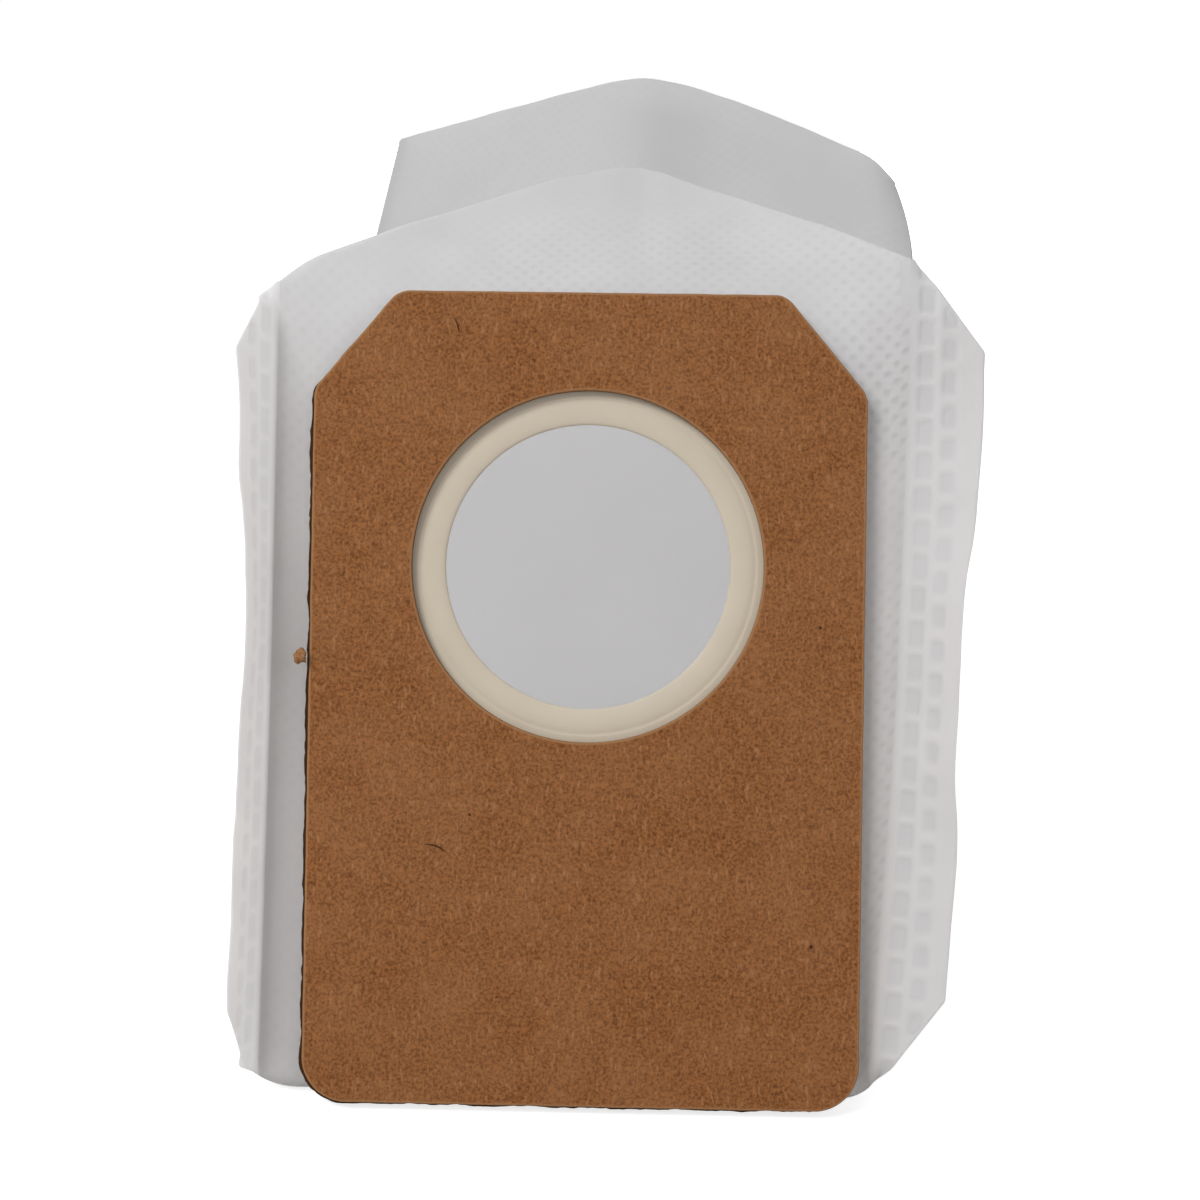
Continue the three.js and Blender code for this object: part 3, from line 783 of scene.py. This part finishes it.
def web_corners(t):
    """Corners (x, v, w) of the loop on one line, each with the bow of the run after it."""
    crossed = [between(t, line) for line in SEAMS]
    (foot_x, foot_w), (waist_x, waist_w), (ridge_x, _) = crossed[:3]
    (valley_x, valley_w), (rear_x, rear_w), (back_x, back_w) = crossed[3:]
    ridge_v, ridge_w = front_ridge(ridge_x)
    rise = (ridge_v - 148) / 30
    share = (valley_x + 51) / 110
    middle = math.sin(math.pi * min(1.0, max(0.0, share)))
    valley_v = VALLEY_LEFT + (VALLEY_RIGHT - VALLEY_LEFT) * share + VALLEY_LIFT * middle
    lift = FOOT_LIFT * max(0.0, (abs(t) - 0.9) / 0.1) ** 2
    shoulder = SHOULDER * max(0.0, t) ** 4
    level = Vector((0, 0, 0))
    return [
        ((foot_x, floor_height(foot_w) + FABRIC / 2 + lift, foot_w), level),
        ((waist_x, WAIST_HEIGHT, waist_w), level),
        ((ridge_x, PANEL_TOP + PANEL_RISE * max(0.0, rise), PANEL_DEPTH), level),
        ((ridge_x, ridge_v, ridge_w), level),
        ((valley_x, valley_v, valley_w), Vector((shoulder, 0, 0))),
        ((rear_x, float(rear_ridge(rear_x)[0]), rear_w), Vector((0, 0, REAR_BULGE * middle))),
        ((back_x, floor_height(back_w) + FABRIC / 2 + lift, back_w), level),
    ]


print("rear ridge at the crease is", round(float(rear_ridge(CREASE_AT)[0]), 1), "mm up")

# %% [markdown]
# A fold is a quadratic curve that starts and ends its reach before and after its corner. Every line
# has the same number of steps in each fold and each run, so that neighbouring lines match and the
# loft has no twist.

# %% Loop of one line
FOLD_REACH = [8.0, 40.0, 6.0, 1.4, 4.0, 1.8, 8.0]
FOLD_STEPS = [8, 4, 6, 8, 8, 8, 8]
RUN_STEPS = [16, 18, 14, 20, 30, 36, 26]


def rounded_loop(corners):
    points = []
    count = len(corners)
    for i, (corner, bow) in enumerate(corners):
        here, to_next = Vector(corner), Vector(corners[(i + 1) % count][0])
        before, after = Vector(corners[i - 1][0]) - here, to_next - here
        start = here + before.normalized() * min(FOLD_REACH[i], before.length * 0.45)
        end = here + after.normalized() * min(FOLD_REACH[i], after.length * 0.45)
        for k in range(FOLD_STEPS[i] + 1):
            q = k / FOLD_STEPS[i]
            points.append((1 - q) ** 2 * start + 2 * q * (1 - q) * here + q**2 * end)
        back = here - to_next
        stop = to_next + back.normalized() * min(FOLD_REACH[(i + 1) % count], back.length * 0.45)
        for k in range(1, RUN_STEPS[i]):
            q = k / RUN_STEPS[i]
            points.append(end.lerp(stop, q) + bow * 4 * q * (1 - q))
    return points


LOOP_COUNT = len(rounded_loop(web_corners(0.0)))
print("points round the loop:", LOOP_COUNT)

# %% [markdown]
# The loft itself is a plain grid whose vertices are moved to their places. Its lines lie closer
# together near the seams. Felt is never quite flat, so a slow noise lifts it by fractions of a
# millimetre, but not where the collar is glued to it. The length of cloth run over so far becomes
# the UV map, in which the emboss pattern is laid out.

# %% Places of the web
LEFT_LINES, RIGHT_LINES = 44, 38
bag_centre = place(3, 80, 55)
FRONT_DEPTH = 4.2
GLUED_HALF, GLUED_TOP = 51, 147
WAVE_FRONT, WAVE_ELSEWHERE = 0.25, 0.45


def across_bag(q):
    """Spreads even steps from 0 (crease) to 1 (seam) so that they close up towards the seam."""
    return 1 - (1 - q) ** 1.25


def cloth_wave(point, amount, size):
    return noise.noise(Vector(point) / size) * amount


def into_bag(before, after):
    """The direction into the bag, square to the loop. The loop runs up the front and down the rear."""
    return (after - before).cross(ACROSS).normalized()


def web_line(t):
    local = rounded_loop(web_corners(t))
    column = []
    for k, point in enumerate(local):
        here = place(*point)
        inward = into_bag(place(*local[k - 1]), place(*local[(k + 1) % LOOP_COUNT]))
        on_front = point.z < FRONT_DEPTH
        glued = on_front and abs(point.x) < GLUED_HALF and point.y < GLUED_TOP
        calm = min(1.0, 6 * (1 - abs(t)))
        amount = 0.0 if glued else (WAVE_FRONT if on_front else WAVE_ELSEWHERE) * calm
        wave = cloth_wave(point, amount, 19.0) + cloth_wave(point + Vector((50, 0, 0)), amount * 0.4, 7.0)
        moved = here - inward * wave * MM
        moved.z = max(moved.z, FABRIC / 2 * MM)
        column.append(moved)
    return column


lines = [-across_bag(i / LEFT_LINES) for i in range(LEFT_LINES, 0, -1)]
lines += [across_bag(i / RIGHT_LINES) for i in range(RIGHT_LINES + 1)]
columns = [web_line(t) for t in lines]
probe = into_bag(columns[9][2], columns[9][4])
print("lines across:", len(columns), "into the bag at the front:", [round(c, 2) for c in probe])

# %% [markdown]
# Every sheet is built the same way. Its middle surface is a grid, and two copies of it, half the
# thickness out and half in, are joined along their borders. The outer copy has the emboss, and the
# inner one is the smooth side that is seen through the inlet.

# %% Sheets of two faces
def grid_shape(columns_of_points, closed):
    """A grid whose vertices are moved to the given points, one column for each line."""
    wide = len(columns_of_points)
    tall = len(columns_of_points[0])
    rows = tall + 1 if closed else tall
    shape = bmesh.new()
    uv_layer = shape.loops.layers.uv.new("cloth")
    made = bmesh.ops.create_grid(shape, x_segments=wide - 1, y_segments=rows - 1, size=0.5)
    order = sorted(made["verts"], key=lambda vert: (round(vert.co.x, 6), round(vert.co.y, 6)))
    measured_row = tall // 8
    spans = [0.0]
    for i in range(1, wide):
        here, before = columns_of_points[i][measured_row], columns_of_points[i - 1][measured_row]
        spans.append(spans[-1] + (here - before).length)
    where = {}
    for i, column in enumerate(columns_of_points):
        stops = column + [column[0]] if closed else column
        length = 0.0
        for k in range(rows):
            if k:
                length += (stops[k] - stops[k - 1]).length
            vert = order[i * rows + k]
            vert.co = stops[k]
            where[vert] = (spans[i] / MM * UV_PER_MM, length / MM * UV_PER_MM)
    for face in shape.faces:
        for loop in face.loops:
            loop[uv_layer].uv = where[loop.vert]
    if closed:
        bmesh.ops.remove_doubles(shape, verts=shape.verts[:], dist=1e-7)
    shape.normal_update()
    total = sum(f.normal.dot(f.calc_center_median() - bag_centre) * f.calc_area() for f in shape.faces)
    if total < 0:
        bmesh.ops.reverse_faces(shape, faces=shape.faces[:])
    return shape


def two_faces(shape, thickness):
    """Makes a sheet of an open surface. The inner face gets the second material."""
    shape.normal_update()
    outer_verts = shape.verts[:]
    outer_faces = shape.faces[:]
    ways = [vert.normal.copy() for vert in outer_verts]
    copied = bmesh.ops.duplicate(shape, geom=outer_verts + shape.edges[:] + outer_faces)
    inner_faces = [g for g in copied["geom"] if isinstance(g, bmesh.types.BMFace)]
    twin = copied["vert_map"]
    rims = [edge for edge in shape.edges if edge.is_boundary]
    for vert, way in zip(outer_verts, ways):
        vert.co += way * thickness / 2
        twin[vert].co -= way * thickness / 2
    bmesh.ops.reverse_faces(shape, faces=inner_faces)
    for face in inner_faces:
        face.material_index = 1
    outer = set(outer_verts)
    for edge in rims:
        first, second = edge.verts
        if first not in outer:
            continue
        if edge.link_loops[0].vert is first:
            first, second = second, first
        shape.faces.new((first, second, twin[second], twin[first]))


# %% [markdown]
# Three attributes say how the cloth's finish changes over it: how clearly the emboss shows, where
# painted shade greys the bellows, and where painted shade, warmed by light bounced off the board,
# darkens the cloth beside the collar. Each is worked out for a vertex from its place against the collar.

# %% Masks of the cloth
# Place and width of a painted shade patch under the peak, and the slope of a painted shade line along a
# fold on the right.
DENT_SHADE_AT, DENT_SHADE_WIDTH = 13, 7
ROLL_SHADE_FALL = 0.31


def in_collar(vert):
    """Where a vertex lies in the collar's directions: across, up and behind, in millimetres."""
    away = (vert.co - collar_foot) / MM
    return away.dot(ACROSS), away.dot(UP), away.dot(BEHIND)


def ramp(value, low, high):
    return min(1.0, max(0.0, (value - low) / (high - low)))


def dots_at(vert):
    """How clearly the emboss shows: clear above and right of the collar, faint on the bellows."""
    x, v, w = in_collar(vert)
    patch = 0.55 + 0.5 * noise.noise(vert.co / (24 * MM))
    if w > 60:
        return 0.35 * patch
    rightness, highness, depth = ramp(x, -45, 40), ramp(v, 150, 172), ramp(w, 28, 40)
    return patch * (0.4 + 0.6 * rightness) * (1 - 0.85 * highness) * (1 - 0.8 * depth)


def bellows_shade_at(vert):
    """Painted shade on the bellows: most on the rear slope, some on the front under its ridge, and more in
    a patch under the peak and along a fold on the right.
    """
    x, v, w = in_collar(vert)
    slope = 0.5 - 0.12 * ramp(x, 10, 40) - 0.16 * ramp(x, 46, 60)
    slope *= ramp(w, 34, 48) * (1 - ramp(w, 101, 106))
    slope += 0.16 * ramp(v, 156, 170) * (1 - ramp(w, 34, 40))
    dent = 0.3 * math.exp(-((x - DENT_SHADE_AT) / DENT_SHADE_WIDTH) ** 2) * ramp(v, 176, 186) * (1 - ramp(v, 200, 207))
    roll = 0.1 * ramp(x, 12, 20) * (1 - ramp(v + ROLL_SHADE_FALL * (x - 15.4), 202, 206))
    return min(1.0, slope + (dent + roll) * ramp(w, 60, 75))


def collar_shade_at(vert):
    """Painted shade along both sides of the collar, warmed by light bounced off the board."""
    x, v, w = in_collar(vert)
    if w > 6 or v > 150 or x < -58:
        return 0.0
    beside = 0.36 * (1 - ramp(x, 51, 57)) if x > 0 else 0.12
    all_along = 0.14 * ramp(abs(x), 48, 52)
    return beside * (1 - ramp(v, 100, 138)) + all_along * (1 - ramp(v, 140, 150))


def finish_cloth(name, shape, material=fabric_material, smooth_angle=50):
    set_mask(shape, "bellows_shade", bellows_shade_at)
    set_mask(shape, "collar_shade", collar_shade_at)
    piece = finish_piece(name, shape, material, smooth_angle)
    piece.data.materials.append(inside_material)
    return piece


# %% [markdown]
# The cloth has a hole behind the ring, cut a little wider than the bore. Its border is moved onto a
# circle.

# %% Make the web
WEB_HOLE = 28.75
hole_centre = place(0, INLET_HEIGHT, PANEL_DEPTH)
shape = grid_shape(columns, closed=True)


def from_hole(point):
    away = point - hole_centre
    return Vector((away.dot(ACROSS), away.dot(UP), 0)), abs(away.dot(BEHIND))


gone = [
    face for face in shape.faces
    if from_hole(face.calc_center_median())[0].length < WEB_HOLE * MM
    and from_hole(face.calc_center_median())[1] < MM
]
bmesh.ops.delete(shape, geom=gone, context="FACES")
for vert in {v for edge in shape.edges if edge.is_boundary for v in edge.verts}:
    flat, deep = from_hole(vert.co)
    if deep < MM and flat.length < 1.25 * WEB_HOLE * MM:
        flat = flat.normalized() * WEB_HOLE * MM
        vert.co = hole_centre + flat.x * ACROSS + flat.y * UP
set_mask(shape, "dots", dots_at)
set_mask(shape, "weld", 0.0)
web_area = sum(face.calc_area() for face in shape.faces)
two_faces(shape, FABRIC * MM)
web = finish_cloth("folded_web", shape)
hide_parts("bag_web")
loop_length = sum((columns[0][k] - columns[0][k - 1]).length for k in range(LOOP_COUNT))
print("loop at the left seam:", round(loop_length / MM), "mm, area:", round(web_area, 4), "square metres")

# %% [markdown]
# ## Side panels
# Each end of the loop is closed by a panel that is creased down its middle and pushed in a little.
# It is a patch between four edges of the seam: the front, the rear, the bottom and the dipping top.
# Blending opposite edges and taking the corners off once gives a smooth surface, and a push along
# the middle makes the crease.

# %% Make the side panels
seam_loops = {side: [place(*p) for p in rounded_loop(web_corners(side))] for side in (-1, 1)}


def corner_index(i):
    """The number of the loop point in the middle of fold i."""
    return sum(FOLD_STEPS[:i]) + sum(RUN_STEPS[:i]) + FOLD_STEPS[i] // 2


def stretch_of(points, first, last, count):
    """Evenly spaced points along a stretch of a closed loop."""
    if last <= first:
        last += len(points)
    chain = [points[k % len(points)] for k in range(first, last + 1)]
    lengths = np.cumsum([0.0] + [(b - a).length for a, b in zip(chain, chain[1:])])
    spread = np.linspace(0, lengths[-1], count)
    table = np.array(chain)
    return [Vector([float(np.interp(s, lengths, table[:, axis])) for axis in range(3)]) for s in spread]


PANEL_ACROSS, PANEL_UP = 48, 64
GUSSET_PUSH = 9.0
GUSSET_ENDS = 0.27


def panel_columns(side):
    seam = seam_loops[side]
    foot, ridge, rear, rear_foot = (corner_index(i) for i in (0, 3, 5, 6))
    front = stretch_of(seam, foot, ridge, PANEL_UP + 1)
    back = stretch_of(seam, rear, rear_foot, PANEL_UP + 1)[::-1]
    top = stretch_of(seam, ridge, rear, PANEL_ACROSS + 1)
    bottom = stretch_of(seam, rear_foot, foot, PANEL_ACROSS + 1)[::-1]
    made = []
    for i in range(PANEL_ACROSS + 1):
        u = i / PANEL_ACROSS
        column = []
        for k in range(PANEL_UP + 1):
            q = k / PANEL_UP
            edges = bottom[i].lerp(top[i], q) + front[k].lerp(back[k], u)
            flat = bottom[0].lerp(bottom[-1], u).lerp(top[0].lerp(top[-1], u), q)
            push = GUSSET_PUSH * (1 - abs(2 * u - 1)) * min(1.0, q / GUSSET_ENDS, (1 - q) / GUSSET_ENDS)
            calm = math.sin(math.pi * u) * math.sin(math.pi * q)
            wave = cloth_wave((edges - flat) / MM, 1.0, 22.0) * calm
            column.append(edges - flat - side * ACROSS * (push + wave) * MM)
        made.append(column)
    return made


for side, name, cad_node in ((-1, "left_end", "left_side_panel"), (1, "right_end", "right_side_panel")):
    shape = grid_shape(panel_columns(side), closed=False)
    for _ in range(2):
        inner = [vert for vert in shape.verts if not vert.is_boundary]
        bmesh.ops.smooth_vert(
            shape, verts=inner, factor=0.5, use_axis_x=True, use_axis_y=True, use_axis_z=True,
        )
    set_mask(shape, "dots", dots_at)
    set_mask(shape, "weld", 0.0)
    sum(face.calc_area() for face in shape.faces)
    two_faces(shape, FABRIC * MM)
    end = finish_cloth(name, shape)
    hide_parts(cad_node)

# %% [markdown]
# ## Welded flanges
# Web and side panels are welded together in a flange that stands out all round each end. Two rows
# of small blocks are pressed into it by the sonic press, the outer row staggered by half a pitch.
# The left flange was knocked forward when the bag was opened and stands nearly towards the viewer.
# The right one is turned forward only a little, and most half way up. A flange is a band round the
# seam with a closed section: its outer skin carries on the face of the web, and both skins sink
# where a block is pressed.

# %% Shape of a flange
FLANGE_WIDTHS = {
    -1: [(0, 12.8), (130, 12.8)],
    1: [(20, 12.5), (50, 13.0), (60, 12.6), (95, 12.6), (136, 13.7)],
}
FLANGE_THICK = 0.9
TIP_THICK = 0.4
WELD_PITCH = 6.1
WELD_ROWS = (
    {"at": 3.3, "half_across": 1.6, "half_along": 2.45, "shift": 0.0},
    {"at": 7.7, "half_across": 1.35, "half_along": 2.05, "shift": 0.5},
)
WELD_SINK = 0.3
WELD_SOFT = 0.28
FLANGE_STEP = 0.6
TUCK = 1.5
CUT_TIP = 0.8
SKIN_STOPS = [-TUCK, -0.5, 0.0] + [0.5 * i for i in range(1, 30)]


def soft_step(distance):
    """1 well inside an edge, 0 outside it, over the softness of a pressed edge."""
    q = min(1.0, max(0.0, 0.5 - distance / (2 * WELD_SOFT)))
    return q * q * (3 - 2 * q)


def weld_depth(along, across):
    depth = 0.0
    for row in WELD_ROWS:
        turns = along / WELD_PITCH + row["shift"]
        off = abs(turns - math.floor(turns) - 0.5) * WELD_PITCH
        off_across = abs(across - row["at"])
        round_block = ((off / row["half_along"]) ** 5 + (off_across / row["half_across"]) ** 5) ** 0.2
        depth = max(depth, soft_step((round_block - 1) * row["half_across"]))
    return depth


def eased(stops, x):
    """Value at x between stops (position, value), eased from one to the next."""
    if x <= stops[0][0]:
        return stops[0][1]
    for (a, first), (b, second) in zip(stops, stops[1:]):
        if x <= b:
            q = (x - a) / (b - a)
            return first + (second - first) * q * q * (3 - 2 * q)
    return stops[-1][1]


# How far the flange is turned out of the plane of the web, by height along the collar: forward is
# negative. Each side has the turn of its inner part, which holds the first row, and of the rest.
FRONT_TURNS = {
    -1: {
        "inner": [(0, -72), (18, -76), (60, -78), (88, -82), (118, -74), (140, -66)],
        "outer": [(0, -74), (18, -79), (60, -80), (88, -84), (118, -76), (140, -70)],
        "margin": [(0, -64), (18, -72), (60, -77), (88, -81), (118, -72), (140, -64)],
    },
    1: {
        "inner": [(0, -15), (22, -22), (40, -27), (66, -40), (91, -40), (110, -20), (136, 4)],
        "outer": [(0, -12), (22, -20), (40, -24), (66, -38), (91, -38), (110, -14), (136, 8)],
        "margin": [(0, -12), (22, -22), (40, -28), (66, -44), (82, -44), (95, -34), (110, -12), (136, 8)],
    },
}
TOP_TURN, REAR_TURN, BOTTOM_TURN = 96.0, 16.0, 82.0
CUTS = {-1: (14.0, 14.0, 22.0, 13.0), 1: (17.0, 17.0, 22.0, 13.0)}
print("weld blocks a turn:", round(loop_length / MM / WELD_PITCH))

# %% [markdown]
# The band is made from section to section. Each section starts a little inside the seam, under the
# web, and walks outwards with the turn of its place. Near the folds of the seam the width shrinks,
# which gives the slanted corner cuts.

# %% Make the flanges
def flange_sections(side):
    """For each place along the seam, its closed section, and how deep each point lies in a weld."""
    seam = seam_loops[side]
    length = sum((seam[k] - seam[k - 1]).length for k in range(len(seam)))
    count = round(length / MM / FLANGE_STEP)
    even = stretch_of(seam, 0, len(seam), count + 1)[:-1]
    corners = [seam[corner_index(i)] for i in (0, 3, 5, 6)]
    foot, ridge, rear, rear_foot = (
        min(range(count), key=lambda k: (even[k] - c).length) * FLANGE_STEP for c in corners
    )
    total = count * FLANGE_STEP
    sections, depths = [], []
    for k in range(count):
        here, s = even[k], k * FLANGE_STEP
        inward = into_bag(even[k - 3], even[(k + 3) % count])
        gaps = [abs((s - a + total / 2) % total - total / 2) for a in (foot, ridge, rear, rear_foot)]
        share = min(1.0, *(gap / cut for gap, cut in zip(gaps, CUTS[side])))
        height = (here - collar_foot).dot(UP) / MM
        width = CUT_TIP + (eased(FLANGE_WIDTHS[side], height) - CUT_TIP) * share
        on_front = eased([(foot - 4, 0.0), (foot + 6, 1.0)], s)
        on_front *= eased([(ridge - 6, 1.0), (ridge + 2, 0.0)], s)
        elsewhere = eased(
            [(foot, BOTTOM_TURN), (ridge, 40.0), (ridge + 12, TOP_TURN), (rear - 1, TOP_TURN),
             (rear + 46, TOP_TURN), (rear + 76, REAR_TURN), (rear_foot - 16, REAR_TURN),
             (rear_foot + 6, BOTTOM_TURN)],
            s,
        )
        turns = {
            part: on_front * eased(stops, height) + (1 - on_front) * elsewhere
            for part, stops in FRONT_TURNS[side].items()
        }
        ruffle = noise.noise(here / (15 * MM)) * 7 + noise.noise(here / (6 * MM)) * 3
        outer_skin, inner_skin, outer_depth = [], [], []
        spot = here - inward * FABRIC / 2 * MM - side * ACROSS * TUCK * MM
        before = -TUCK
        for stop in SKIN_STOPS:
            across = min(stop, width)
            angle = eased(
                [(-0.2, 0.0), (1.4, turns["inner"]), (5.0, turns["inner"]), (6.0, turns["outer"]),
                 (9.0, turns["outer"]), (9.6, turns["margin"] + ruffle)],
                across,
            )
            turn = math.radians(angle)
            way = math.cos(turn) * side * ACROSS + math.sin(turn) * inward
            skin_normal = -math.cos(turn) * inward + math.sin(turn) * side * ACROSS
            spot = spot + way * (across - before) * MM
            before = across
            depth = weld_depth(s, across) if 0 < across < width - 0.4 else 0.0
            under = 0.06 * min(1.0, max(0.0, -across / 0.5))
            thin = FLANGE_THICK + (TIP_THICK - FLANGE_THICK) * max(0.0, across / width) ** 2
            thick = thin if across > 0 else FABRIC * 0.8
            outer_skin.append(spot - skin_normal * (under + WELD_SINK * depth) * MM)
            inner_skin.append(spot - skin_normal * (thick - WELD_SINK * depth) * MM)
            outer_depth.append(depth)
        tip = outer_skin[-1].lerp(inner_skin[-1], 0.5) + way * 0.25 * MM
        section = outer_skin + [tip] + inner_skin[::-1]
        for point in section:
            point.z = max(point.z, 0.05 * MM)
        sections.append(section)
        depths.append(outer_depth + [0.0] + outer_depth[::-1])
    return sections, depths


for side, name in ((-1, "left_flange"), (1, "right_flange")):
    sections, depths = flange_sections(side)
    band = [[section[i] for section in sections] for i in range(len(sections[0]))]
    shape = grid_shape(band + [band[0]], closed=True)
    depth_of = {
        tuple(round(c, 7) for c in point): depth
        for section, row in zip(sections, depths) for point, depth in zip(section, row)
    }
    set_mask(shape, "weld", lambda vert: depth_of.get(tuple(round(c, 7) for c in vert.co), 0.0))
    set_mask(shape, "dots", 0.0)
    bmesh.ops.recalc_face_normals(shape, faces=shape.faces[:])
    finish_cloth(name, shape, flange_materials[side], 60)
